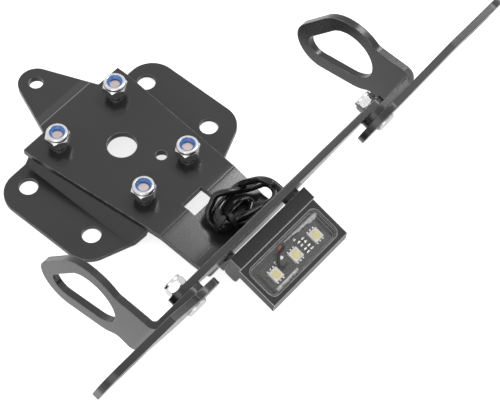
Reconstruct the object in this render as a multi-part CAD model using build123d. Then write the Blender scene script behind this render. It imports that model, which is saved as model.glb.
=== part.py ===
from build123d import *
import math
import os

# Motorcycle tail tidy: a folded main bracket on a hat-shaped mounting plate, with two indicator
# brackets, two number plate arms, a plate light and its lead in a tied hank.
# Millimetres. The origin is the centre of the four frame holes on the face that meets the bike.
# X runs across the bike, Y points to its front, Z points away from the face that meets it.

# Sheets
bracket_sheet = 3.1
mounting_sheet = 2.0
bend_radius = 2.0
mounting_bend_radius = 1.0

# Mounting plate
frame_hole_span_x = 76.0
frame_hole_span_y = 38.0
frame_hole_diameter = 8.5
hat_height = 7.4
flange_half_width = 51.0
flange_corner_radius = 12.0
flange_rear_slant = 20.0
wall_foot_x = 30.4
wall_top_x = 24.8
web_rear_y = -39.2
flange_rear_y = -35.2
web_hole_margin = 2.3

# Main bracket: flat part, tongue and ledge
front_y = 28.5
front_half_width = 30.0
shoulder_y = 22.1
tongue_root_half_width = 23.8
tongue_half_width = 22.8
tongue_root_y = -46.7
tongue_drop = 4.2
ledge_front_y = -64.4
wing_y = -71.1
centre_hole_y = -2.2
centre_hole_diameter = 13.4
small_hole_x = 7.3
small_hole_y = -18.9
small_hole_diameter = 5.2
window_half_width = 6.2
window_front_y = -43.0
window_rear_y = -50.5
window_corner_radius = 0.4

# Front tab
tab_bend_y = 32.1
tab_root_half_width = 17.4
tab_root_radius = 0.8
tab_tip_radius = 8.2
tab_hole_y = 50.5
tab_hole_diameter = 6.5
tab_slope = 1.0

# Wing: its lean, and heights measured up it from its bend
wing_lean = 20.5
arm_bolt_x = 58.3
arm_bolt_up = 55.0
wing_end_radius = 6.0
wing_neck_up = 17.0
wing_flare_x = 30.5
wing_flare_up = 29.5
wing_flare_radius = 12.0

# Indicator brackets: reaches are measured from the wing towards the bike
loop_inner_x = 77.5
lug_radius = 7.5
lug_low_up = 30.6
lug_high_up = 61.9
loop_big_reach = 21.9
loop_big_up = 40.4
loop_big_hole_radius = 12.4
loop_small_reach = 33.9
loop_small_up = 26.8
loop_small_hole_radius = 5.9
loop_wall = 6.6
loop_crotch_angle = 113.0
loop_crotch_radius = 5.0

# Number plate arms
arm_width = 20.2
arm_lobe_radius = 13.0
arm_rise_angle = 48.8
arm_knee_x = 82.7
arm_end_x = 118.7
arm_end_top_radius = 10.0
arm_end_low_radius = 3.0
plate_slot_x = 103.0
plate_slot_length = 16.0
plate_slot_width = 6.5

# Fasteners
m6 = dict(thread=6.0, flats=10.0, hexagon=4.1, nut=5.9, collar=9.9, ring=7.2, ring_bore=4.9, head_height=4.0)
m5 = dict(thread=5.0, flats=8.0, hexagon=3.4, nut=4.8, collar=7.9, ring=6.0, ring_bore=4.1, head=9.5, head_height=1.6)
m4 = dict(thread=4.0, head=7.5, head_height=1.5)
plate_bolt_front_x = 18.2
plate_bolt_front_y = 18.5
plate_bolt_rear_x = 14.0
plate_bolt_rear_y = -28.5
plate_nut_lift = 4.2
bolt_hole_play = 0.5
thread_play = 0.1
ring_recess = 0.3
ring_chamfer = 0.9
bolt_end_gap = 0.2

# Plate light: distances back from the wing's front face, and heights up the wing
light_half_width = 23.4
light_gap = 1.3
light_rim_depth = 6.3
light_face_length = 20.0
light_front_draft = 1.2
light_face_up = 27.5
light_rim_rise = 2.2
light_head_depth = 4.8
light_lip_up = 24.3
light_base_up = 16.0
light_base_inset = 1.3
light_base_length = 6.9
light_base_radius = 2.0
light_frame = 2.2
light_window_radius = 3.0
lens_thickness = 1.2
lens_lip = 0.8
cavity_depth = 4.0
board_x = 0.4
board_back = 1.3
board_width = 35.6
board_length = 11.2
board_thickness = 1.0
led_pitch = 12.7
led_size = 5.0
led_height = 1.4
led_well_diameter = 4.0
led_well_depth = 0.4
resistor_width = 1.4
resistor_length = 2.2
resistor_height = 0.6
resistor_columns = (5.2, 7.6)
resistor_rows = (-1.9, 1.9)
solder_size = 1.5
solder_height = 0.7
solder_x = (-8.6, -5.4)
solder_back = -3.4
board_wire_diameter = 1.1
board_wire_length = 3.0
light_screw_x = 20.6
light_screw_up = 20.0
light_screw_depth = 3.6
light_spacer_flats = 8.0

# Lead, its grommet, its hank and the tie
lead_diameter = 3.0
lead_hole_x = 16.0
lead_hole_up = 27.5
lead_reach = 9.5
lead_fall = 27.0
lead_bend_share = 0.45
grommet_wall = 0.8
grommet_flange = 1.2
grommet_flange_wall = 1.5
coil_x = 12.0
coil_length = 34.0
coil_width = 22.0
coil_height = 6.0
coil_bundle = 7.4
coil_round = 2.4
coil_front_y = -49.2
coil_rear_inset = 3.0
coil_play = 0.5
tie_offset = -4.3
tie_width = 3.0
tie_thickness = 0.3
tie_play = 0.06

# Positions worked out from the sizes above
plate_top_z = hat_height + mounting_sheet + bracket_sheet
ledge_z = plate_top_z - tongue_drop
frame_hole_x = frame_hole_span_x / 2
frame_hole_y = frame_hole_span_y / 2
lug_back = bracket_sheet
arm_back = lug_back + bracket_sheet
stack_back = arm_back + bracket_sheet
wing_top_up = arm_bolt_up + wing_end_radius
light_back = bracket_sheet + light_gap
light_step_back = light_back + light_rim_depth
light_front_back = light_step_back + light_face_length
light_base_back = light_back + light_base_inset
light_middle_back = (light_step_back + light_front_back) / 2
cavity_floor_up = light_face_up - cavity_depth
board_top_up = cavity_floor_up + board_thickness
grommet_diameter = lead_diameter + 2 * grommet_wall
tall = 200.0
cut_past = 1.0

lean = math.radians(wing_lean)
wing_plane = Plane(
    origin=(0, wing_y, ledge_z),
    x_dir=(1, 0, 0),
    z_dir=(0, -math.cos(lean), -math.sin(lean)),
)
face_plane = Plane(origin=(0, 0, 0), x_dir=(1, 0, 0), z_dir=(0, 1, 0))
side_plane = Plane(origin=(0, 0, 0), x_dir=(0, 0, -1), z_dir=(1, 0, 0))


def on_wing(shape):
    """Carry a shape drawn as (across, up, back) on to the wing."""
    return wing_plane.location * shape


def mirrored(shape):
    return mirror(shape, about=Plane.YZ)


def rod(diameter, x, y, low, high):
    """A cylinder along the third axis between two levels."""
    return Pos(x, y, (low + high) / 2) * Cylinder(diameter / 2, high - low)


def outline(points):
    return make_face(Polyline(*points, close=True).edges())


def corners_at(face, points):
    """The corners of a face that lie at the points given."""
    return [v for v in face.vertices() for p in points if math.dist((v.X, v.Y), p) < 0.01]


def face_between(near, far):
    """The face between two open paths that run the same way."""
    start = Line(near @ 0, far @ 0)
    end = Line(near @ 1, far @ 1)
    return make_face(near.edges() + end.edges() + far.edges() + start.edges())


def folded_section(points, bends, thickness):
    """A folded sheet's section: a face's path with its bend radii, and the other face on its left."""
    runs = [(Vector(*b) - Vector(*a)).normalized() for a, b in zip(points, points[1:])]
    sides = [Vector(-run.Y, run.X) for run in runs]
    far = [Vector(*points[0]) + sides[0] * thickness]
    near_radii, far_radii = [], []
    for i, bend in enumerate(bends):
        shift = (sides[i] + sides[i + 1]) * (thickness / (1 + sides[i].dot(sides[i + 1])))
        far.append(Vector(*points[i + 1]) + shift)
        turns_left = runs[i].cross(runs[i + 1]).Z > 0
        near_radii.append(bend + thickness if turns_left else bend)
        far_radii.append(bend if turns_left else bend + thickness)
    far.append(Vector(*points[-1]) + sides[-1] * thickness)
    near_path = FilletPolyline(*points, radius=near_radii)
    far_path = FilletPolyline(*[(v.X, v.Y) for v in far], radius=far_radii)
    return face_between(near_path, far_path)


def plate_bolt_places():
    rows = ((plate_bolt_front_x, plate_bolt_front_y), (plate_bolt_rear_x, plate_bolt_rear_y))
    return [(side * x, y) for x, y in rows for side in (-1, 1)]


def base_outline():
    """Plan of the tab, the flat part, the tongue and the ledge."""
    run = tab_hole_y - front_y
    to_tip = math.atan2(tab_root_half_width, run)
    edge_angle = to_tip - math.asin(tab_tip_radius / math.hypot(tab_root_half_width, run))
    tip = (tab_tip_radius * math.cos(edge_angle), tab_hole_y + tab_tip_radius * math.sin(edge_angle))
    right = [
        tip,
        (tab_root_half_width, front_y),
        (front_half_width, front_y),
        (front_half_width, shoulder_y),
        (tongue_root_half_width, tongue_root_y),
        (tongue_half_width, ledge_front_y),
        (tongue_half_width, wing_y - tall),
    ]
    left = [(-x, y) for x, y in reversed(right)]
    plan = outline(right + left)
    plan = fillet(corners_at(plan, [right[1], left[-2]]), tab_root_radius)
    return plan + Pos(0, tab_hole_y) * Circle(tab_tip_radius)


def wing_outline():
    """The wing's face, drawn up from below its bend."""
    right = [
        (tongue_half_width, -tall),
        (tongue_half_width, wing_neck_up),
        (wing_flare_x, wing_flare_up),
        (arm_bolt_x, arm_bolt_up - wing_end_radius),
        (arm_bolt_x, wing_top_up),
    ]
    left = [(-x, up) for x, up in reversed(right)]
    face = outline(right + left)
    face = fillet(corners_at(face, right[1:3] + left[2:4]), wing_flare_radius)
    for side in (-1, 1):
        face += Pos(side * arm_bolt_x, arm_bolt_up) * Circle(wing_end_radius)
    return face


def make_main_bracket():
    """One sheet folded at the tab, the tongue, the ledge and the wing."""
    wing_top = wing_plane.from_local_coords((0, wing_top_up, 0))
    tab_end_y = tab_hole_y + tab_tip_radius
    tab_end_z = plate_top_z - (tab_end_y - tab_bend_y) * math.tan(math.radians(tab_slope))
    path = [
        (tab_end_y, tab_end_z),
        (tab_bend_y, plate_top_z),
        (tongue_root_y, plate_top_z),
        (ledge_front_y, ledge_z),
        (wing_y, ledge_z),
        (wing_top.Y, wing_top.Z),
    ]
    section = folded_section(path, [bend_radius] * 4, bracket_sheet)
    sheet = extrude(Plane.YZ * section, amount=tall, both=True)
    low, high = -tall, plate_top_z + bracket_sheet
    base = sheet & Pos(0, 0, low) * extrude(base_outline(), amount=high - low)
    wing = sheet & on_wing(extrude(wing_outline(), amount=2 * bracket_sheet, both=True))
    body = base + wing
    body -= rod(centre_hole_diameter, 0, centre_hole_y, low, high)
    body -= rod(small_hole_diameter, small_hole_x, small_hole_y, low, high)
    body -= rod(tab_hole_diameter, 0, tab_hole_y, low, high)
    for x, y in plate_bolt_places():
        body -= rod(m6["thread"] + bolt_hole_play, x, y, low, high)
    window = RectangleRounded(2 * window_half_width, window_front_y - window_rear_y, window_corner_radius)
    body -= Pos(0, (window_front_y + window_rear_y) / 2, low) * extrude(window, amount=high - low)
    wing_holes = [(lead_hole_x, lead_hole_up, grommet_diameter)]
    for side in (-1, 1):
        wing_holes.append((side * arm_bolt_x, arm_bolt_up, m5["thread"] + bolt_hole_play))
        wing_holes.append((side * light_screw_x, light_screw_up, m4["thread"] + thread_play))
    for x, up, diameter in wing_holes:
        body -= on_wing(rod(diameter, x, up, -bracket_sheet, 2 * bracket_sheet))
    return body


def make_mounting_plate():
    """A hat: the web under the main bracket, two sloping walls and two flanges on the bike."""
    top = hat_height + mounting_sheet
    path = [
        (flange_half_width, mounting_sheet),
        (wall_foot_x, mounting_sheet),
        (wall_top_x, top),
        (-wall_top_x, top),
        (-wall_foot_x, mounting_sheet),
        (-flange_half_width, mounting_sheet),
    ]
    section = folded_section(path, [mounting_bend_radius] * 4, mounting_sheet)
    sheet = extrude(Plane.XZ * section, amount=tall, both=True)
    corner_x = flange_half_width - flange_corner_radius
    front_corner_y = front_y - flange_corner_radius
    rear_corner_y = -frame_hole_y
    slant = math.radians(flange_rear_slant)
    right = [
        (corner_x, front_y),
        (flange_half_width, front_corner_y),
        (flange_half_width, rear_corner_y),
        (corner_x + flange_corner_radius * math.sin(slant), rear_corner_y - flange_corner_radius * math.cos(slant)),
        (wall_foot_x, flange_rear_y),
        (wall_top_x, web_rear_y),
    ]
    left = [(-x, y) for x, y in reversed(right)]
    plan = outline(right + left)
    for side in (-1, 1):
        for y in (front_corner_y, rear_corner_y):
            plan += Pos(side * corner_x, y) * Circle(flange_corner_radius)
    body = sheet & extrude(plan, amount=tall)
    for x in (-frame_hole_x, frame_hole_x):
        for y in (-frame_hole_y, frame_hole_y):
            body -= rod(frame_hole_diameter, x, y, 0, tall)
    body -= rod(centre_hole_diameter + 2 * web_hole_margin, 0, centre_hole_y, 0, tall)
    body -= rod(small_hole_diameter + web_hole_margin, small_hole_x, small_hole_y, 0, tall)
    for x, y in plate_bolt_places():
        body -= rod(m6["thread"] + bolt_hole_play, x, y, 0, tall)
    return body


def hexagon(flats, height):
    """A hexagon standing on height 0 with turned corners and a flat towards each side."""
    corners = flats / math.cos(math.pi / 6)
    turned = rod(corners, 0, 0, 0, height)
    turned = chamfer(turned.edges().filter_by(GeomType.CIRCLE), (corners - flats) / 2)
    return turned & extrude(RegularPolygon(corners / 2, 6, rotation=30), amount=height)


def lock_nut(size):
    """A nut standing on height 0 with its collar upwards, and the nylon ring in the collar."""
    collar_height = size["nut"] - size["hexagon"]
    collar = rod(size["collar"], 0, 0, size["hexagon"], size["nut"])
    collar = fillet(collar.edges().group_by(Axis.Z)[-1], collar_height / 2)
    bore = size["thread"] + thread_play
    body = hexagon(size["flats"], size["hexagon"]) + collar - rod(bore, 0, 0, -cut_past, size["nut"] + cut_past)
    body -= rod(size["ring"], 0, 0, size["hexagon"], size["nut"] + cut_past)
    ring_top = size["nut"] - ring_recess
    ring = rod(size["ring"], 0, 0, size["hexagon"], ring_top) - rod(size["ring_bore"], 0, 0, 0, size["nut"])
    rim = ring.edges().filter_by(GeomType.CIRCLE).group_by(Axis.Z)[-1].sort_by(SortBy.RADIUS)[0]
    return body, chamfer(rim, ring_chamfer)


def threaded(size, length):
    """A bolt's thread standing on height 0."""
    shank = rod(size["thread"], 0, 0, 0, length)
    return chamfer(shank.edges().group_by(Axis.Z)[-1], size["thread"] / 12)


def hexagon_bolt(size, length):
    """A hexagon head below height 0 and the thread above it."""
    return Pos(0, 0, -size["head_height"]) * hexagon(size["flats"], size["head_height"]) + threaded(size, length)


def button_bolt(size, length):
    """A button head below height 0 with a hexagon socket, and the thread above it."""
    head = rod(size["head"], 0, 0, -size["head_height"], 0)
    head = fillet(head.edges().group_by(Axis.Z)[0], size["head_height"] * 0.8)
    socket = extrude(RegularPolygon(size["thread"] / 3, 6), amount=size["head_height"] / 2)
    return head + threaded(size, length) - Pos(0, 0, -size["head_height"]) * socket


def make_plate_fasteners():
    nut_z = plate_top_z + plate_nut_lift
    bolt = hexagon_bolt(m6, nut_z + m6["hexagon"] - bolt_end_gap - hat_height)
    nut, ring = lock_nut(m6)
    places = plate_bolt_places()
    bolts = [Pos(x, y, hat_height) * bolt for x, y in places]
    nuts = [Pos(x, y, nut_z) * nut for x, y in places]
    rings = [Pos(x, y, nut_z) * ring for x, y in places]
    return {"plate_bolts": bolts, "plate_lock_nuts": nuts, "plate_nut_inserts": rings}


def make_arm_fasteners():
    bolt = button_bolt(m5, stack_back + m5["hexagon"] - bolt_end_gap)
    nut, ring = lock_nut(m5)
    turn = Rot(180, 0, 0)
    bolts, nuts, rings = [], [], []
    for side in (-1, 1):
        place = Pos(side * arm_bolt_x, arm_bolt_up, 0)
        bolts.append(on_wing(place * Pos(0, 0, stack_back) * turn * bolt))
        nuts.append(on_wing(place * turn * nut))
        rings.append(on_wing(place * turn * ring))
    return {"arm_bolts": bolts, "arm_lock_nuts": nuts, "arm_nut_inserts": rings}


def pear_tangents(wall):
    """Where the straight sides of the pear-shaped loop meet its two circles, upper side first."""
    big_radius = loop_big_hole_radius + wall
    small_radius = loop_small_hole_radius + wall
    run_reach = loop_small_reach - loop_big_reach
    run_up = loop_small_up - loop_big_up
    heading = math.atan2(run_up, run_reach)
    spread = math.acos((big_radius - small_radius) / math.hypot(run_reach, run_up))
    points = []
    for angle in (heading + spread, heading - spread):
        big = (loop_big_reach + big_radius * math.cos(angle), loop_big_up + big_radius * math.sin(angle))
        small = (loop_small_reach + small_radius * math.cos(angle), loop_small_up + small_radius * math.sin(angle))
        points.append((big, small))
    return points


def pear(wall):
    """The pear shape of the loop's hole, made bigger all round by a wall."""
    upper, lower = pear_tangents(wall)
    face = outline([upper[0], upper[1], lower[1], lower[0]])
    face += Pos(loop_big_reach, loop_big_up) * Circle(loop_big_hole_radius + wall)
    return face + Pos(loop_small_reach, loop_small_up) * Circle(loop_small_hole_radius + wall)


def loop_outline():
    """The loop plate from its fold to the loop's far end, as (reach, up)."""
    radius = loop_big_hole_radius + loop_wall
    knee = (loop_big_reach - math.sqrt(radius**2 - (loop_big_up - lug_low_up) ** 2), lug_low_up)
    angle = math.radians(loop_crotch_angle)
    crotch = (loop_big_reach + radius * math.cos(angle), loop_big_up + radius * math.sin(angle))
    neck = outline([
        (-arm_back, lug_low_up),
        knee,
        (loop_big_reach, loop_big_up),
        crotch,
        (0, lug_high_up),
        (-arm_back, lug_high_up),
    ])
    face = neck + pear(loop_wall)
    face = fillet(corners_at(face, [knee, crotch]), loop_crotch_radius)
    return face - pear(0)


def make_indicator_bracket():
    """The right one: a lug between the wing and the arm, folded into a loop that holds an indicator."""
    fold_x = loop_inner_x - bend_radius
    lug = outline([
        (arm_bolt_x, arm_bolt_up + lug_radius),
        (fold_x, lug_high_up),
        (fold_x, lug_low_up),
        (arm_bolt_x, arm_bolt_up - lug_radius),
    ])
    lug += Pos(arm_bolt_x, arm_bolt_up) * Circle(lug_radius)
    path = [(0, -lug_back), (loop_inner_x, -lug_back), (loop_inner_x, tall)]
    far = [(0, -arm_back), (loop_inner_x + bracket_sheet, -arm_back), (loop_inner_x + bracket_sheet, tall)]
    inside = FilletPolyline(*path, radius=bend_radius)
    outside = FilletPolyline(*far, radius=bend_radius + bracket_sheet)
    sheet = extrude(face_plane * face_between(inside, outside), amount=tall)
    outboard = Pos(fold_x, 0, 0) * Box(tall, tall, 2 * tall, align=(Align.MIN, Align.MIN, Align.CENTER))
    lug_part = (sheet - outboard) & extrude(lug, amount=tall)
    loop_part = sheet & outboard & extrude(side_plane * loop_outline(), amount=tall)
    body = lug_part + loop_part
    body -= rod(m5["thread"] + bolt_hole_play, arm_bolt_x, arm_bolt_up, 0, stack_back)
    return on_wing(body)


def make_plate_arm():
    """The right one: a lobe round its bolt, a rising strip and a level strip with a slot for the plate."""
    rise = math.radians(arm_rise_angle)
    along = Vector(math.cos(rise), math.sin(rise))
    across = Vector(-math.sin(rise), math.cos(rise))
    low = Vector(arm_bolt_x, arm_bolt_up) - across * arm_lobe_radius
    high = low + across * arm_width
    knee_high = high + along * ((arm_knee_x - high.X) / along.X)
    level_low = knee_high.Y - arm_width
    knee_low = low + along * ((level_low - low.Y) / along.Y)
    end_top = (arm_end_x, knee_high.Y)
    end_low = (arm_end_x, level_low)
    strip = outline([
        (low.X, low.Y),
        (knee_low.X, knee_low.Y),
        end_low,
        end_top,
        (knee_high.X, knee_high.Y),
        (high.X, high.Y),
    ])
    strip = fillet(corners_at(strip, [end_top]), arm_end_top_radius)
    strip = fillet(corners_at(strip, [end_low]), arm_end_low_radius)
    face = strip + Pos(arm_bolt_x, arm_bolt_up) * Circle(arm_lobe_radius)
    face -= Pos(arm_bolt_x, arm_bolt_up) * Circle((m5["thread"] + bolt_hole_play) / 2)
    face -= Pos(plate_slot_x, level_low + arm_width / 2) * SlotOverall(plate_slot_length, plate_slot_width)
    return on_wing(Pos(0, 0, arm_back) * extrude(face, amount=bracket_sheet))


def light_window(inset, low_up, high_up):
    """The rounded opening of the light's face, as a block between two heights."""
    width = 2 * (light_half_width - light_frame - inset)
    length = light_face_length - 2 * (light_frame + inset)
    shape = RectangleRounded(width, length, light_window_radius - inset)
    block = extrude(face_plane * shape, amount=high_up - low_up)
    return Pos(0, low_up, light_middle_back) * block


def make_light_housing():
    """A shallow head with a cavity behind its window, on a deeper base with a raised rim."""
    head_low = light_face_up - light_head_depth
    base_far = light_base_back + light_base_length
    rim_up = light_face_up + light_rim_rise
    base_corner = (-light_base_back, light_base_up)
    base_far_corner = (-base_far, light_base_up)
    section = outline([
        base_corner,
        (-light_base_back, light_lip_up),
        (-light_back, light_lip_up),
        (-light_back, rim_up),
        (-light_step_back, rim_up),
        (-light_step_back, light_face_up),
        (-light_front_back, light_face_up),
        (-light_front_back - light_front_draft, head_low),
        (-base_far, head_low),
        base_far_corner,
    ])
    section = fillet(corners_at(section, [base_corner, base_far_corner]), light_base_radius)
    body = extrude(side_plane * section, amount=light_half_width, both=True)
    body -= light_window(0, light_face_up - lens_thickness, light_face_up + cut_past)
    body -= light_window(lens_lip, cavity_floor_up, light_face_up)
    for side in (-1, 1):
        body -= rod(m4["thread"], side * light_screw_x, light_screw_up, 0, light_base_back + light_screw_depth)
    return {"light_housing": [on_wing(body)]}


def on_board(x, back, height):
    """The place of a piece of the height given, standing on the circuit board."""
    return Pos(board_x + x, board_top_up + height / 2, light_middle_back + board_back + back)


def make_light_inside():
    board = on_board(0, 0, -board_thickness) * Box(board_width, board_thickness, board_length)
    leds, phosphors = [], []
    for i in (-1, 0, 1):
        block = on_board(i * led_pitch, 0, led_height) * Box(led_size, led_height, led_size)
        well = Rot(90, 0, 0) * Cylinder(led_well_diameter / 2, led_well_depth)
        well = on_board(i * led_pitch, 0, 2 * led_height - led_well_depth) * well
        leds.append(block - well)
        phosphors.append(well)
    chip = Box(resistor_width, resistor_height, resistor_length)
    resistors = [on_board(x, back, resistor_height) * chip for x in resistor_columns for back in resistor_rows]
    drop = Box(solder_size, solder_height, solder_size)
    solder = [on_board(x, solder_back, solder_height) * drop for x in solder_x]
    wires = []
    for x in solder_x:
        wire_back = solder_back + (solder_size + board_wire_length) / 2
        wire = Cylinder(board_wire_diameter / 2, board_wire_length)
        wires.append(on_board(x, wire_back, board_wire_diameter) * wire)
    lens = light_window(0, light_face_up - lens_thickness, light_face_up)
    groups = {
        "light_circuit_board": [board],
        "light_leds": leds,
        "light_led_phosphors": phosphors,
        "light_resistors": resistors,
        "light_solder": solder,
        "light_red_wire": [wires[0]],
        "light_black_wire": [wires[1]],
        "light_lens": [lens],
    }
    return {name: [on_wing(piece) for piece in pieces] for name, pieces in groups.items()}


def make_light_fixings():
    """Screws through the wing and a hexagonal spacer each, into the light's base."""
    thickness = light_base_back - bracket_sheet
    screw = button_bolt(m4, light_base_back + light_screw_depth)
    spacer = Rot(0, 0, 30) * hexagon(light_spacer_flats, thickness)
    spacer -= rod(m4["thread"] + thread_play, 0, 0, 0, thickness)
    screws, spacers = [], []
    for side in (-1, 1):
        place = Pos(side * light_screw_x, light_screw_up, 0)
        screws.append(on_wing(place * screw))
        spacers.append(on_wing(place * Pos(0, 0, bracket_sheet) * spacer))
    return {"light_screws": screws, "light_spacers": spacers}


def make_grommet():
    """A rubber bush in the wing's hole, with a flange on each face."""
    bush = rod(grommet_diameter, lead_hole_x, lead_hole_up, 0, bracket_sheet)
    flange = lead_diameter + 2 * grommet_flange_wall
    bush += rod(flange, lead_hole_x, lead_hole_up, -grommet_flange, 0)
    bush += rod(flange, lead_hole_x, lead_hole_up, bracket_sheet, bracket_sheet + grommet_flange)
    bush -= rod(lead_diameter, lead_hole_x, lead_hole_up, -tall, tall)
    return {"lead_grommet": [on_wing(bush)]}


def coil_plane():
    """The plane that the hank lies on: it touches the tongue in front and the ledge behind."""
    slope = tongue_drop / (tongue_root_y - ledge_front_y)
    front_z = plate_top_z - (tongue_root_y - coil_front_y) * slope
    rear_y = wing_y + coil_rear_inset
    tilt = math.atan2(front_z - ledge_z, coil_front_y - rear_y)
    normal = Vector(0, -math.sin(tilt), math.cos(tilt))
    middle = Vector(coil_x, (coil_front_y + rear_y) / 2, (front_z + ledge_z) / 2)
    return Plane(origin=middle + normal * coil_play, x_dir=(1, 0, 0), z_dir=normal)


def make_lead():
    """The hank as one closed ring, the lead from the light's base to it, and the tie round it."""
    place = coil_plane().location
    ring = SlotOverall(coil_length, coil_width)
    ring -= SlotOverall(coil_length - 2 * coil_bundle, coil_width - 2 * coil_bundle)
    coil = extrude(ring, amount=coil_height)
    coil = fillet(coil.edges().group_by(Axis.Z)[0] + coil.edges().group_by(Axis.Z)[-1], coil_round)
    coil = place * coil

    points = [Vector(lead_hole_x, lead_hole_up, light_back)]
    points.append(Vector(lead_hole_x, lead_hole_up, -lead_reach))
    points.append(points[-1] - Vector(0, lead_fall, 0))
    radii = []
    for before, corner, after in zip(points, points[1:], points[2:]):
        run_in, run_out = corner - before, after - corner
        turn = math.radians(run_in.get_angle(run_out))
        radii.append(lead_bend_share * min(run_in.length, run_out.length) / math.tan(turn / 2))
    route = on_wing(FilletPolyline(*points, radius=radii))
    start = Plane(origin=route @ 0, z_dir=route % 0)
    tube = sweep(start * Circle(lead_diameter / 2), path=route)
    print("lead bend radii", [round(r, 2) for r in radii], "length", round(route.length, 1))
    print("lead volume", round(tube.volume, 1), "of", round(route.length * math.pi * lead_diameter**2 / 4, 1))
    lead = tube - coil

    inner_width = coil_bundle + 2 * tie_play
    inner_height = coil_height + 2 * tie_play
    grow = 2 * tie_thickness
    band = RectangleRounded(inner_width + grow, inner_height + grow, coil_round + tie_thickness)
    band -= RectangleRounded(inner_width, inner_height, coil_round)
    strap = extrude(Plane.YZ * band, amount=tie_width / 2, both=True)
    run_y = -(coil_width - coil_bundle) / 2
    strap = Pos(tie_offset, run_y, coil_height / 2) * strap
    return {"lead": [lead], "lead_coil": [coil], "lead_tie": [place * strap]}


def write(groups):
    for name, pieces in groups.items():
        solids = [solid for piece in pieces for solid in piece.solids()]
        shape = solids[0] if len(solids) == 1 else Compound(children=solids)
        export_step(shape, f"parts/{name}.step")


os.makedirs("parts", exist_ok=True)
right_bracket = make_indicator_bracket()
right_arm = make_plate_arm()
write({
    "main_bracket": [make_main_bracket()],
    "mounting_plate": [make_mounting_plate()],
    "right_indicator_bracket": [right_bracket],
    "left_indicator_bracket": [mirrored(right_bracket)],
    "right_plate_arm": [right_arm],
    "left_plate_arm": [mirrored(right_arm)],
})
write(make_plate_fasteners())
write(make_arm_fasteners())
write(make_light_housing())
write(make_light_inside())
write(make_light_fixings())
write(make_grommet())
write(make_lead())
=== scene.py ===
import math

import bpy
from mathutils import Matrix, Vector


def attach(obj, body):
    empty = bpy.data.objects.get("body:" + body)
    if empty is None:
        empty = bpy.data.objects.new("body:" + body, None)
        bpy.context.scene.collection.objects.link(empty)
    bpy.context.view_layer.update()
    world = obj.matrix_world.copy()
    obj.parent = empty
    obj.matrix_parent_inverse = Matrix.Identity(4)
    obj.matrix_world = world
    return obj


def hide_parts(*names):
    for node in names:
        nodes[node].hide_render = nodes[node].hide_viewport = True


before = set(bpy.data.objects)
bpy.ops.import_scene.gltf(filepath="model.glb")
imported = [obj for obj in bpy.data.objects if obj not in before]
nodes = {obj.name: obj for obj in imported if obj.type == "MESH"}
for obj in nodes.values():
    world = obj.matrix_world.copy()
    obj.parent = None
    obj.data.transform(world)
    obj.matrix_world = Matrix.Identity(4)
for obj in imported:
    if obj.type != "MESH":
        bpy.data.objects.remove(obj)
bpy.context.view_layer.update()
scene = bpy.context.scene
scene.view_settings.view_transform = "Standard"

MM = 0.001
LEAN = math.radians(20.5)
WING_Y, LEDGE_Z = -71.1, 8.3


def wing(across, up, back):
    """A point measured on the wing, in millimetres, as a place in the frame, in metres."""
    y = WING_Y - back * math.cos(LEAN) - up * math.sin(LEAN)
    z = LEDGE_Z - back * math.sin(LEAN) + up * math.cos(LEAN)
    return Vector((across, y, z)) * MM


# Camera: its direction, its focal length in pixels of the picture, and its place from a point on the part
azimuth, elevation, roll = (math.radians(v) for v in (-49.257, 56.374, 0.122))
focal_pixels = 1811.522
picture_width = 500
sensor_width = 36
eye_right, eye_above, eye_back = 56.035, -24.793, 792.132
eye_origin = Vector((0, -2.2, 12.5))
back = Vector((
    math.sin(azimuth) * math.cos(elevation),
    -math.cos(azimuth) * math.cos(elevation),
    math.sin(elevation),
))
right = Vector((math.cos(azimuth), math.sin(azimuth), 0))
above = back.cross(right)
eye = (right * eye_right + above * eye_above + back * eye_back + eye_origin) * MM
right, above = (
    right * math.cos(roll) + above * math.sin(roll),
    above * math.cos(roll) - right * math.sin(roll),
)
camera = bpy.data.objects.new("camera", bpy.data.cameras.new("camera"))
camera.data.sensor_fit = "HORIZONTAL"
camera.data.sensor_width = sensor_width
camera.data.lens = focal_pixels * sensor_width / picture_width
camera.data.clip_start = 0.01
camera.matrix_world = Matrix((
    (right.x, above.x, back.x, eye.x),
    (right.y, above.y, back.y, eye.y),
    (right.z, above.z, back.z, eye.z),
    (0, 0, 0, 1),
))
scene.collection.objects.link(camera)
scene.camera = camera


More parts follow.
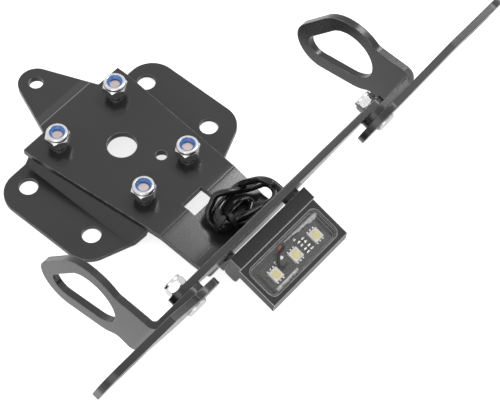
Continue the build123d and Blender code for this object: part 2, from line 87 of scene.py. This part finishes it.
# Materials
class Shader:
    """A material with one Principled shader and short ways to add nodes to it."""

    def __init__(self, name, **values):
        self.material = bpy.data.materials.new(name)
        self.material.use_nodes = True
        self.tree = self.material.node_tree
        self.body = self.tree.nodes["Principled BSDF"]
        self.set(**values)
        self.where = self.tree.nodes.new("ShaderNodeTexCoord").outputs["Object"]

    def set(self, **values):
        for key, value in values.items():
            self.body.inputs[key.replace("_", " ")].default_value = value

    def add(self, kind, inputs=None, **settings):
        node = self.tree.nodes.new(kind)
        for key, value in settings.items():
            setattr(node, key, value)
        for key, value in (inputs or {}).items():
            if isinstance(value, bpy.types.NodeSocket):
                self.tree.links.new(value, node.inputs[key])
            else:
                node.inputs[key].default_value = value
        return node

    def noise(self, scale, detail=2.0, roughness=0.5):
        values = {"Vector": self.where, "Scale": scale, "Detail": detail, "Roughness": roughness}
        return self.add("ShaderNodeTexNoise", values).outputs["Fac"]

    def ramp(self, fac, low, high, start=0.3, end=0.7):
        """A value or colour that goes from low to high as fac goes from start to end."""
        if isinstance(low, (int, float)):
            values = {"Value": fac, "From Min": start, "From Max": end, "To Min": low, "To Max": high}
            return self.add("ShaderNodeMapRange", values).outputs["Result"]
        node = self.add("ShaderNodeValToRGB", {"Fac": fac})
        for element, position, colour in zip(node.color_ramp.elements, (start, end), (low, high)):
            element.position = position
            element.color = (*colour, 1)
        return node.outputs["Color"]

    def blend(self, fac, first, second):
        node = self.add("ShaderNodeMix", data_type="RGBA")
        sockets = [s for s in node.inputs if s.enabled]
        for socket, value in zip(sockets, (fac, first, second)):
            if isinstance(value, bpy.types.NodeSocket):
                self.tree.links.new(value, socket)
            else:
                socket.default_value = (*value, 1)
        return [s for s in node.outputs if s.enabled][0]

    def drive(self, socket, value):
        self.tree.links.new(value, self.body.inputs[socket])

    def edges(self, radius):
        """The normal with its edges rounded off, and how near an edge is, from 0 to 1."""
        soft = self.add("ShaderNodeBevel", {"Radius": radius}, samples=8).outputs["Normal"]
        flat = self.add("ShaderNodeNewGeometry").outputs["Normal"]
        turn = self.add("ShaderNodeVectorMath", {0: soft, 1: flat}, operation="DOT_PRODUCT").outputs["Value"]
        return soft, self.ramp(turn, 1.0, 0.0, 0.8, 0.99)

    def bump(self, height, strength, distance, normal):
        values = {"Height": height, "Strength": strength, "Distance": distance, "Normal": normal}
        self.drive("Normal", self.add("ShaderNodeBump", values).outputs["Normal"])

    def near_line(self, y, reach):
        """One on the line across the part at y, falling to nought at the reach given."""
        along = self.add("ShaderNodeSeparateXYZ", {"Vector": self.where}).outputs["Y"]
        gap = self.add("ShaderNodeMath", {0: along, 1: y}, operation="SUBTRACT").outputs["Value"]
        distance = self.add("ShaderNodeMath", {0: gap}, operation="ABSOLUTE").outputs["Value"]
        return self.ramp(distance, 1.0, 0.0, 0.0, reach)

    def product(self, first, second):
        return self.add("ShaderNodeMath", {0: first, 1: second}, operation="MULTIPLY").outputs["Value"]


# The folded sheet: where its tongue folds down and up again, and where a painted highlight stands for the
# light on the tab's bend
tongue_top_y, tongue_foot_y = -46.7 * MM, -64.4 * MM
tongue_drop = 4.2 * MM
fold_reach = 4.0 * MM
fold_angle = math.atan2(tongue_drop, tongue_top_y - tongue_foot_y)
rounded_folds = [(tongue_top_y, True), (tongue_foot_y, False)]
painted_bend_line = 32.1 * MM
painted_bend_band = 34.3 * MM


def powder_coat(name, folded=False):
    """Black powder coat: fine orange peel, faint clouds, and a paler line along each edge that is partly
    wear of the coat and partly a painted highlight.

    The folded sheet also has round folds at the tongue, and a painted highlight at the tab's bend: a pale
    line and a paler grainy band.
    """
    coat = Shader(name)
    soft, edge = coat.edges(0.6 * MM)
    cloud = coat.noise(30, 3.0)
    peel = coat.noise(1000, 2.0)
    wear_and_highlight = coat.ramp(coat.noise(260, 3.0, 0.6), 0.15, 0.9, 0.35, 0.65)
    base = coat.ramp(cloud, (0.019, 0.019, 0.0195), (0.024, 0.0238, 0.0242))
    if folded:
        for y, outward in rounded_folds:
            near = coat.near_line(y, fold_reach)
            depth = fold_reach * math.tan(fold_angle / 2) / 2
            values = {"Height": coat.product(near, near), "Strength": 1.0, "Distance": depth, "Normal": soft}
            soft = coat.add("ShaderNodeBump", values, invert=outward).outputs["Normal"]
        # Painted highlight on the tab's bend: a paler grainy band beside a pale line, in place of the light
        # on the bend.
        speckle = coat.ramp(coat.noise(3200, 1.0), 0.45, 0.75)
        band = coat.ramp(coat.near_line(painted_bend_band, 2.6 * MM), 0.0, 1.0, 0.0, 0.6)
        base = coat.blend(coat.product(band, speckle), base, (0.055, 0.055, 0.056))
        base = coat.blend(coat.near_line(painted_bend_line, 0.4 * MM), base, (0.22, 0.22, 0.22))
    # Paler edges: partly wear of the coat, partly a painted highlight where the light catches the edges.
    coat.drive("Base Color", coat.blend(coat.product(edge, wear_and_highlight), base, (0.34, 0.34, 0.343)))
    coat.drive("Roughness", coat.ramp(cloud, 0.2, 0.25))
    coat.bump(peel, 0.15, 0.12 * MM, soft)
    return coat.material


metal_edge = 0.25 * MM
metal_grain = 600


def metal(name, colour, roughness):
    """Plated metal: fine mottling, and edges rubbed brighter."""
    skin = Shader(name, Metallic=1.0)
    soft, edge = skin.edges(metal_edge)
    streak = skin.noise(metal_grain, 4.0, 0.6)
    plate = skin.ramp(streak, [c * 0.82 for c in colour], colour)
    skin.drive("Base Color", skin.blend(edge, plate, (0.9, 0.9, 0.9)))
    skin.drive("Roughness", skin.ramp(streak, roughness * 0.8, roughness * 1.3))
    skin.bump(streak, 0.07, 0.1 * MM, soft)
    return skin.material


def bolt_metal():
    """Bright zinc on the bolts, with dull pinkish ends where they stand upright in the nuts."""
    skin = Shader("bolt_zinc", Metallic=1.0)
    soft, _ = skin.edges(metal_edge)
    mottle = skin.noise(metal_grain, 4.0, 0.6)
    normal = skin.add("ShaderNodeNewGeometry").outputs["Normal"]
    facing = skin.add("ShaderNodeSeparateXYZ", {"Vector": normal})
    end = skin.ramp(facing.outputs["Z"], 0.0, 1.0, 0.85, 0.97)
    bright = skin.ramp(mottle, (0.78, 0.78, 0.78), (0.92, 0.92, 0.92))
    dull = skin.ramp(mottle, (0.5, 0.42, 0.41), (0.6, 0.51, 0.5))
    skin.drive("Base Color", skin.blend(end, bright, dull))
    skin.drive("Roughness", skin.ramp(end, 0.14, 0.38, 0.0, 1.0))
    skin.bump(mottle, 0.05, 0.1 * MM, soft)
    return skin.material


def plastic(name, colour, roughness, variation=0.25, scale=900, bump=0.05, edge_width=0.2, edge=0.02):
    """Moulded plastic or rubber with a fine grain, and edges that are rounded and made paler by a painted
    highlight.
    """
    skin = Shader(name)
    soft, edge_highlight_mask = skin.edges(edge_width * MM)
    grain = skin.noise(scale)
    low = [c * (1 - variation) for c in colour]
    high = [min(1, c * (1 + variation)) for c in colour]
    # Painted highlight: the colour near the edges is made paler by the amount edge.
    pale = [min(1, c * 1.3 + edge) for c in colour]
    skin.drive("Base Color", skin.blend(edge_highlight_mask, skin.ramp(grain, low, high), pale))
    skin.drive("Roughness", skin.ramp(grain, roughness * 0.85, roughness * 1.15))
    skin.bump(grain, bump, 0.1 * MM, soft)
    return skin.material


def clear_lens():
    """Clear plastic with a faint haze."""
    lens = Shader("clear_lens", Transmission_Weight=1.0, IOR=1.45)
    haze = lens.noise(300)
    lens.drive("Base Color", lens.ramp(haze, (0.97, 0.98, 0.98), (1.0, 1.0, 1.0)))
    lens.drive("Roughness", lens.ramp(haze, 0.0, 0.03))
    return lens.material


black = powder_coat("powder_coat")
finish = {
    "main_bracket": powder_coat("powder_coat_folded", folded=True),
    "mounting_plate": black,
    "left_indicator_bracket": black,
    "right_indicator_bracket": black,
    "left_plate_arm": black,
    "right_plate_arm": black,
    "plate_lock_nuts": metal("nut_zinc", (0.74, 0.74, 0.75), 0.2),
    "plate_bolts": bolt_metal(),
    "arm_bolts": metal("arm_bolt_zinc", (0.66, 0.66, 0.66), 0.25),
    "light_spacers": metal("spacer_steel", (0.13, 0.13, 0.135), 0.4),
    "plate_nut_inserts": plastic("blue_nylon", (0.07, 0.2, 0.52), 0.3),
    # The housing's edges get a strong painted highlight.
    "light_housing": plastic("light_black", (0.01, 0.01, 0.011), 0.2, edge_width=0.55, edge=0.9),
    "light_lens": clear_lens(),
    "light_circuit_board": plastic("board", (0.034, 0.031, 0.027), 0.35, 0.3, 420),
    "light_leds": plastic("led_white", (0.97, 0.96, 0.93), 0.4, 0.03),
    "light_led_phosphors": plastic("phosphor", (0.95, 0.85, 0.42), 0.35, 0.06, 1500),
    "light_resistors": plastic("resistor", (0.03, 0.03, 0.03), 0.5),
    "light_solder": metal("solder", (0.85, 0.85, 0.83), 0.2),
    "lead_grommet": plastic("grommet_rubber", (0.02, 0.02, 0.02), 0.6),
}
finish["arm_lock_nuts"] = finish["plate_lock_nuts"]
finish["light_screws"] = finish["arm_bolts"]
finish["arm_nut_inserts"] = finish["plate_nut_inserts"]
for name, material in finish.items():
    data = nodes[name].data
    data.materials.clear()
    data.materials.append(material)
cable_black = plastic("cable_black", (0.006, 0.006, 0.007), 0.14, 0.2, 700, 0.02)


# Lead: out of the wing, down to the hank, round it, and back to its tie
def strand(name, places, diameter, material):
    """A round wire along one open NURBS spline."""
    curve = bpy.data.curves.new(name, "CURVE")
    curve.dimensions = "3D"
    curve.bevel_depth = diameter / 2
    curve.bevel_resolution = 5
    curve.resolution_u = 8
    curve.use_fill_caps = True
    spline = curve.splines.new("NURBS")
    spline.points.add(len(places) - 1)
    for point, place in zip(spline.points, places):
        point.co = (*place, 1)
    spline.order_u = 3
    spline.use_endpoint_u = True
    curve.materials.append(material)
    piece = bpy.data.objects.new(name, curve)
    scene.collection.objects.link(piece)
    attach(piece, "root")
    return piece


# The plane that the hank lies on: it touches the tongue in front and the ledge behind
coil_front = Vector((0, -49.2, 11.907))
coil_rear = Vector((0, -68.1, 8.3))
coil_run = (coil_front - coil_rear).normalized()
coil_normal = Vector((1, 0, 0)).cross(coil_run)
coil_middle = (coil_front + coil_rear) / 2 + Vector((12.0, 0, 0)) + coil_normal * 0.5


def on_coil(along, across, height):
    """A place over the plane that the hank lies on, measured from its middle in millimetres."""
    return (coil_middle + Vector((along, 0, 0)) + coil_run * across + coil_normal * height) * MM


# How far the line of sight moves over the hank for each millimetre of height
sight_along, sight_across = -0.47, -0.25
sight_level = 2


def in_sight(along, across, height):
    """The place at the height given that the camera sees at (along, across) on the level of 2 mm."""
    rise = height - sight_level
    return on_coil(along + sight_along * rise, across + sight_across * rise, height)


lead_diameter = 3 * MM
lead_hole = (16.0, 27.5)
route = [wing(*lead_hole, 4.4), wing(*lead_hole, -3.0)]
lead_in = [(15.6, -3.6, 28.8), (13.9, -0.4, 25.6), (10.2, 1.9, 18.0), (6.6, 3.8, 9.2), (1.8, 4.6, 6.1)]
route += [in_sight(*place) for place in lead_in]
LEFT, RIGHT = 90, 270
# Each end of the hank: its side, middle, radius, heights on the way round, and places on the way to it
hank_ends = [
    (LEFT, (-8.7, -1.6), 4.3, (6.6, 7.4, 7.4), []),
    (RIGHT, (10.8, -6.8), 4.7, (4.2, 4.3, 4.6), []),
    (LEFT, (-9.1, -1.9), 5.4, (3.0, 4.0, 4.4), [(6.6, 2.0, 3.8), (0.0, 4.0, 2.9)]),
    (RIGHT, (10.2, -6.2), 4.7, (8.3, 8.5, 8.8), [(-6.0, -10.1, 4.4), (0.0, -11.0, 7.1)]),
    (LEFT, (-9.7, -0.8), 7.3, (6.4, 1.4, 1.2), [(5.6, 0.6, 9.4), (-0.8, 5.4, 10.6), (-5.4, 8.4, 9.2)]),
]
end_steps = 6
for side, (along, across), radius, heights, before in hank_ends:
    route += [in_sight(*place) for place in before]
    for i in range(end_steps + 1):
        angle = math.radians(side + 180 * i / end_steps)
        share = 2 * i / end_steps
        low, middle_height, high = heights
        height = low + (middle_height - low) * share
        if share > 1:
            height = middle_height + (high - middle_height) * (share - 1)
        route.append(in_sight(along + radius * math.cos(angle), across + radius * math.sin(angle), height))
free_end = [
    (-6.0, -8.6), (-2.2, -8.0), (1.0, -6.6), (2.8, -5.2),
    (2.9, -3.4), (1.2, -2.0), (-1.4, -1.7), (-4.4, -1.9),
]
route += [in_sight(*place, 1.0) for place in free_end]
route.append(in_sight(-7.4, -1.9, 1.6))
route.append(in_sight(-10.0, -1.4, 2.6))
lead = strand("lead_and_hank", route, lead_diameter, cable_black)
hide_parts("lead", "lead_coil")


# Tie: a flat strap round the hank's left end, with one tail that hangs behind
def strap(name, stations, thickness, material):
    """A flat band. Each station is its middle, the half width to one side, and the outward direction."""
    corners, faces = [], []
    for place, side, outward in stations:
        lift = outward.normalized() * (thickness / 2)
        corners += [place - side - lift, place + side - lift, place + side + lift, place - side + lift]
    for k in range(len(stations) - 1):
        for i in range(4):
            j = (i + 1) % 4
            faces.append((4 * k + i, 4 * k + j, 4 * k + 4 + j, 4 * k + 4 + i))
    last = 4 * (len(stations) - 1)
    faces += [(3, 2, 1, 0), (last, last + 1, last + 2, last + 3)]
    mesh = bpy.data.meshes.new(name)
    mesh.from_pydata(corners, [], faces)
    mesh.polygons.foreach_set("use_smooth", [True] * len(mesh.polygons))
    mesh.materials.append(material)
    piece = bpy.data.objects.new(name, mesh)
    scene.collection.objects.link(piece)
    crease = mesh.attributes.new("crease_edge", "FLOAT", "EDGE")
    for edge, value in zip(mesh.edges, crease.data):
        first, second = sorted(edge.vertices)
        value.value = 0.8 if second - first == 4 else 0.0
    smooth = piece.modifiers.new("smooth", "SUBSURF")
    smooth.levels = smooth.render_levels = 2
    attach(piece, "root")
    return piece


tie_width = 2.8 * MM
tie_across = -3.4
tie_ring = [
    (-12.9, 9.3), (-17.4, 9.6), (-18.5, 7.2), (-18.4, 1.6),
    (-17.4, -0.5), (-13.6, -0.5), (-12.7, 1.6), (-12.6, 7.6),
]
ring_middle = on_coil(-15.4, tie_across, 4.6)
stations = []
for along, height in tie_ring:
    place = on_coil(along, tie_across, height)
    stations.append((place, coil_run * (tie_width / 2), place - ring_middle))
tie_tail = [
    (-12.0, -3.6, 10.6, 1.1), (-12.4, -5.6, 10.9, 1.3), (-12.9, -7.8, 10.0, 1.3),
    (-13.0, -9.8, 7.8, 1.0), (-12.6, -11.6, 4.4, 0.4),
]
for along, across, height, half_width in tie_tail:
    stations.append((on_coil(along, across, height), Vector((-half_width * MM, 0, 0)), coil_normal))
tie = strap("tie_strap", stations, 0.4 * MM, plastic("tie_black", (0.004, 0.004, 0.005), 0.55, edge=0.004))
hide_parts("lead_tie")

# Inside the light: solder at the diodes, silver ends on the resistors, pale ragged beads and wire ends
board_up = 24.5
board_x = 0.4
led_back = 22.0
led_pitch = 12.7


def mesh_piece(name, corners, faces, material):
    """A small piece of the light, made from its corners and faces."""
    mesh = bpy.data.meshes.new(name)
    mesh.from_pydata(corners, [], faces)
    mesh.validate()
    mesh.materials.append(material)
    piece = bpy.data.objects.new(name, mesh)
    scene.collection.objects.link(piece)
    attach(piece, "root")


def fillets(name, blocks, taper, material):
    """Small blocks on the board that narrow upwards. Each is its middle, width, length and height."""
    corners, faces = [], []
    outline = [(-0.5, -0.5), (0.5, -0.5), (0.5, 0.5), (-0.5, 0.5)]
    for across, back, width, length, height in blocks:
        start = len(corners)
        for level, size in ((0, 1), (0.55, (1 + taper) / 2), (1, taper)):
            for x, d in outline:
                up = board_up + height * level
                corners.append(wing(across + x * width * size, up, back + d * length * size))
        for k in (0, 4):
            for i in range(4):
                j = (i + 1) % 4
                faces.append([start + k + n for n in (i, j, 4 + j, 4 + i)])
        faces.append([start + 8 + i for i in range(4)])
        faces.append([start + i for i in (3, 2, 1, 0)])
    mesh_piece(name, corners, faces, material)


solder = finish["light_solder"]
pad_pitch, pad_reach = 1.75, 3.05
joints = []
for i in (-1, 0, 1):
    for column in (-1, 0, 1):
        for side in (-1, 1):
            across = board_x + led_pitch * i + pad_pitch * column
            joints.append((across, led_back + side * pad_reach, 1.05, 1.0, 0.7))
lone_blob = (4.9, 17.2, 1.3, 1.3, 0.7)
joints.append(lone_blob)
fillets("light_led_solder", joints, 0.6, solder)
resistor_x, resistor_offset, cap_offset = (5.6, 8.0), (-1.9, 1.9), 0.85
caps = []
for across in resistor_x:
    for offset in resistor_offset:
        for end in (-1, 1):
            caps.append((across, led_back + offset + end * cap_offset, 1.55, 0.75, 0.68))
fillets("light_resistor_ends", caps, 0.92, solder)


def bead(name, first, last, back, widths, heights, material):
    """An uneven pale strip on the board along the window's edge."""
    steps = 48
    arch = 7
    corners, faces = [], []
    for k in range(steps + 1):
        share = k / steps
        ragged = math.sin(17 * share) * 0.5 + math.sin(41 * share + 1) * 0.3 + math.sin(83 * share + 2) * 0.2
        width = (widths[0] + (widths[1] - widths[0]) * share) * (1 + 0.28 * ragged)
        height = (heights[0] + (heights[1] - heights[0]) * share) * (1 + 0.3 * math.sin(29 * share + ragged))
        for i in range(arch):
            turn = math.pi * i / (arch - 1)
            up = board_up + height * math.sin(turn)
            corners.append(wing(first + (last - first) * share, up, back + width * (1 - math.cos(turn)) / 2))
    for k in range(steps):
        for i in range(arch - 1):
            faces.append([arch * k + n for n in (i, i + 1, arch + i + 1, arch + i)])
    faces.append(list(range(arch)))
    faces.append([arch * steps + i for i in reversed(range(arch))])
    mesh_piece(name, corners, faces, material)


# White glossy ragged beads on the board along the window's edges.
pale_bead = plastic("pale_bead", (0.9, 0.9, 0.89), 0.12, 0.4, 900, 0.9)
bead("light_sealant_back", 0.5, 20.2, 14.6, (0.4, 2.5), (0.6, 1.5), pale_bead)
bead("light_sealant_front", -16.4, -3.0, 26.1, (1.7, 1.3), (0.7, 0.5), pale_bead)


def board_wire(name, places, diameter, colour, node):
    """One of the wire ends on the board, in place of its plain solid."""
    wire = strand(name, [wing(*place) for place in places], diameter * MM, plastic(name, colour, 0.35))
    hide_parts(node)


red_route = [
    (-8.2, 25.0, 21.0), (-7.6, 25.0, 19.2), (-5.6, 25.2, 17.0), (-4.2, 25.6, 15.9), (-1.8, 25.4, 15.0),
]
board_wire("light_red_wire_end", red_route, 1.1, (0.7, 0.08, 0.07), "light_red_wire")
black_route = [
    (-5.0, 25.0, 22.0), (-6.6, 25.4, 22.6), (-8.8, 26.2, 21.6), (-8.2, 26.3, 19.4),
    (-6.2, 26.4, 17.6), (-4.4, 26.4, 16.4), (-1.8, 25.9, 16.8), (0.4, 25.1, 15.2),
]
board_wire("light_black_wire_end", black_route, 1.5, (0.012, 0.012, 0.012), "light_black_wire")

# Floor, world and lamps
floor_half = 3
floor_corners = [(x * floor_half, y * floor_half, 0) for x, y in ((-1, -1), (1, -1), (1, 1), (-1, 1))]
floor_mesh = bpy.data.meshes.new("floor")
floor_mesh.from_pydata(floor_corners, [], [(0, 1, 2, 3)])
floor = bpy.data.objects.new("floor", floor_mesh)
floor.location.z = -0.0005
scene.collection.objects.link(floor)


def seen_rays(tree):
    """One for a ray from the camera, from a reflection or through glass, else nought."""
    path = tree.nodes.new("ShaderNodeLightPath")
    seen = path.outputs["Is Camera Ray"]
    for name in ("Is Glossy Ray", "Is Transmission Ray"):
        most = tree.nodes.new("ShaderNodeMath")
        most.operation = "MAXIMUM"
        tree.links.new(seen, most.inputs[0])
        tree.links.new(path.outputs[name], most.inputs[1])
        seen = most.outputs[0]
    return seen


pale = Shader("pale_floor", Roughness=0.9, Specular_IOR_Level=0.0)
pale.set(Base_Color=(0.8, 0.8, 0.8, 1), Emission_Color=(0.75, 0.75, 0.75, 1))
straight = pale.add("ShaderNodeLightPath").outputs["Is Camera Ray"]
both = pale.add("ShaderNodeMath", {0: straight, 1: seen_rays(pale.tree)}, operation="ADD")
pale.drive("Emission Strength", pale.ramp(both.outputs["Value"], 0.0, 1.0, 0.0, 2.0))
floor_mesh.materials.append(pale.material)

world = bpy.data.worlds.new("studio")
scene.world = world
world.use_nodes = True
tree = world.node_tree
background = tree.nodes["Background"]
background.inputs["Color"].default_value = (1, 1, 1, 1)
level = tree.nodes.new("ShaderNodeMapRange")
level.inputs["To Min"].default_value = 0.7
level.inputs["To Max"].default_value = 1.0
tree.links.new(seen_rays(tree), level.inputs["Value"])
tree.links.new(level.outputs["Result"], background.inputs["Strength"])


def lamp(name, place, target, size, power):
    """A soft lamp, in metres and watts, turned to its target."""
    data = bpy.data.lights.new(name, "AREA")
    data.shape = "RECTANGLE"
    data.size, data.size_y = size
    data.energy = power
    obj = bpy.data.objects.new(name, data)
    obj.location = place
    obj.rotation_euler = (Vector(target) - Vector(place)).to_track_quat("-Z", "Y").to_euler()
    scene.collection.objects.link(obj)


lamp("key", (0.6, -0.08, 1.08), (0.02, -0.058, 0.01), (0.4, 0.16), 3.4)
lamp("side", (0.92, -0.42, 0.98), (0.09, -0.08, 0.03), (0.22, 0.26), 1.6)
lamp("fill", (-0.9, -0.5, 0.7), (0, -0.05, 0.03), (0.8, 0.8), 3)
